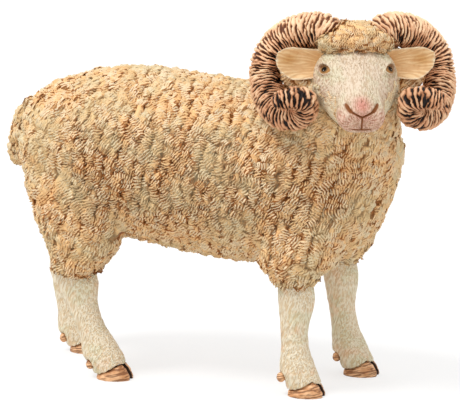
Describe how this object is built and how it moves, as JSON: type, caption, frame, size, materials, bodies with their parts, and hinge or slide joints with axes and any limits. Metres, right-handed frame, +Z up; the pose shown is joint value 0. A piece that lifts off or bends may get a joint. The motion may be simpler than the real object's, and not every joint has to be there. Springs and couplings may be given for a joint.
{
  "type": "toy ram figure",
  "caption": "Rigid moulded toy ram that stands on cloven hooves, with a crimped wool fleece, curled ridged horns and its head turned to one side.",
  "frame": {"origin": "on the ground, under the middle of the figure's box", "axes": "+X from rump to chest, +Y to the animal's left, +Z up"},
  "size_m": [0.1, 0.043, 0.0792],
  "materials": {
    "fleece": "matt painted vinyl, cream wool with a tan wash in the grooves between the crimps",
    "skin": "matt painted vinyl, cream white with fine moulded hair strokes and a pink nose",
    "horn": "satin painted vinyl, pinkish brown ridges with a dark brown wash in the grooves",
    "hoof": "satin painted vinyl, brown with a wavy darker grain",
    "ear": "matt painted vinyl, yellowish cream with a lighter rim",
    "eye": "gloss painted vinyl, grey-brown with a black pupil"
  },
  "bodies": {
    "root": {"torso_fleece": "fleece", "tail": "fleece", "head": "skin", "poll_wool": "fleece", "right_horn": "horn", "right_ear": "ear", "right_eye": "eye", "left_horn": "horn", "left_ear": "ear", "left_eye": "eye", "front_right_leg": "skin", "front_right_claw_right": "hoof", "front_right_dewclaw_right": "hoof", "front_right_claw_left": "hoof", "front_right_dewclaw_left": "hoof", "front_left_leg": "skin", "front_left_claw_right": "hoof", "front_left_dewclaw_right": "hoof", "front_left_claw_left": "hoof", "front_left_dewclaw_left": "hoof", "rear_right_leg": "skin", "rear_right_claw_right": "hoof", "rear_right_dewclaw_right": "hoof", "rear_right_claw_left": "hoof", "rear_right_dewclaw_left": "hoof", "rear_left_leg": "skin", "rear_left_claw_right": "hoof", "rear_left_dewclaw_right": "hoof", "rear_left_claw_left": "hoof", "rear_left_dewclaw_left": "hoof"}
  },
  "joints": []
}
